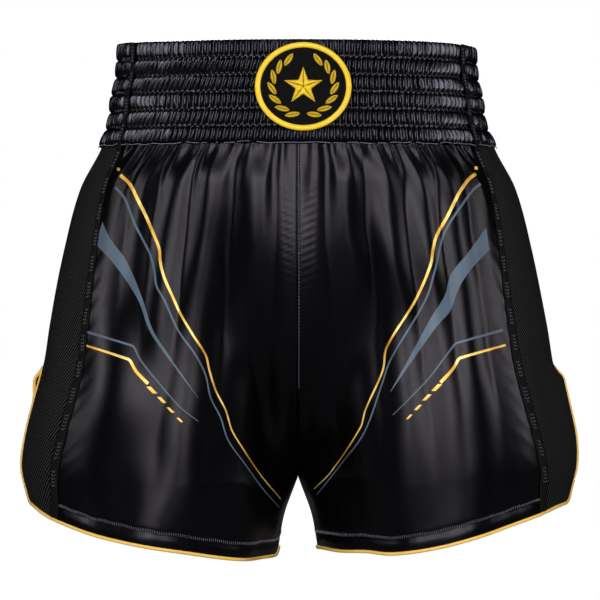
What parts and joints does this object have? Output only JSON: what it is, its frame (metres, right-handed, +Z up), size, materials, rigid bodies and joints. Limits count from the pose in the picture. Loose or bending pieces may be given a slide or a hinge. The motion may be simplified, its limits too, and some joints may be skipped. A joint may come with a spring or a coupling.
{
  "type": "boxing shorts",
  "caption": "Muay Thai boxing shorts with a shirred elastic waistband, satin panels, mesh sides, bound side slits and a round patch.",
  "frame": {"origin": "centre of the waist opening, level with the waistband's top edge", "axes": "+Z up as worn, -Y the front of the shorts, +X the wearer's left"},
  "size_m": [0.4462, 0.2308, 0.4043],
  "materials": {
    "satin": "black polyester satin, soft sheen",
    "waistband_satin": "black polyester satin, gathered",
    "mesh": "black diagonal sports mesh, matt",
    "tape": "black woven tape with a small grey pattern",
    "binding_gold": "gold satin binding",
    "elastic": "white woven elastic",
    "patch_twill": "black twill",
    "patch_thread": "gold embroidery thread, shiny",
    "print_gold": "gold metallic print on satin",
    "print_slate": "slate blue print on satin",
    "thread": "lilac-grey sewing thread",
    "label": "plain white woven label"
  },
  "bodies": {
    "root": {"waistband_front": "waistband_satin", "waistband_back": "waistband_satin", "waistband_left": "waistband_satin", "waistband_right": "waistband_satin", "elastic_band_1": "elastic", "elastic_band_2": "elastic", "elastic_band_3": "elastic", "elastic_band_4": "elastic", "elastic_band_5": "elastic", "elastic_band_6": "elastic", "front_left_panel": "satin", "front_right_panel": "satin", "back_left_panel": "satin", "back_right_panel": "satin", "left_front_mesh": "mesh", "left_back_mesh": "mesh", "right_front_mesh": "mesh", "right_back_mesh": "mesh", "left_front_tape": "tape", "left_back_tape": "tape", "right_front_tape": "tape", "right_back_tape": "tape", "left_leg_binding": "binding_gold", "right_leg_binding": "binding_gold", "front_seam_allowance": "satin", "back_seam_allowance": "satin", "left_inseam_allowance": "satin", "right_inseam_allowance": "satin", "patch_backing": "patch_twill", "patch_border": "patch_thread", "patch_star": "patch_thread", "patch_laurel": "patch_thread", "size_label": "label"}
  },
  "joints": []
}
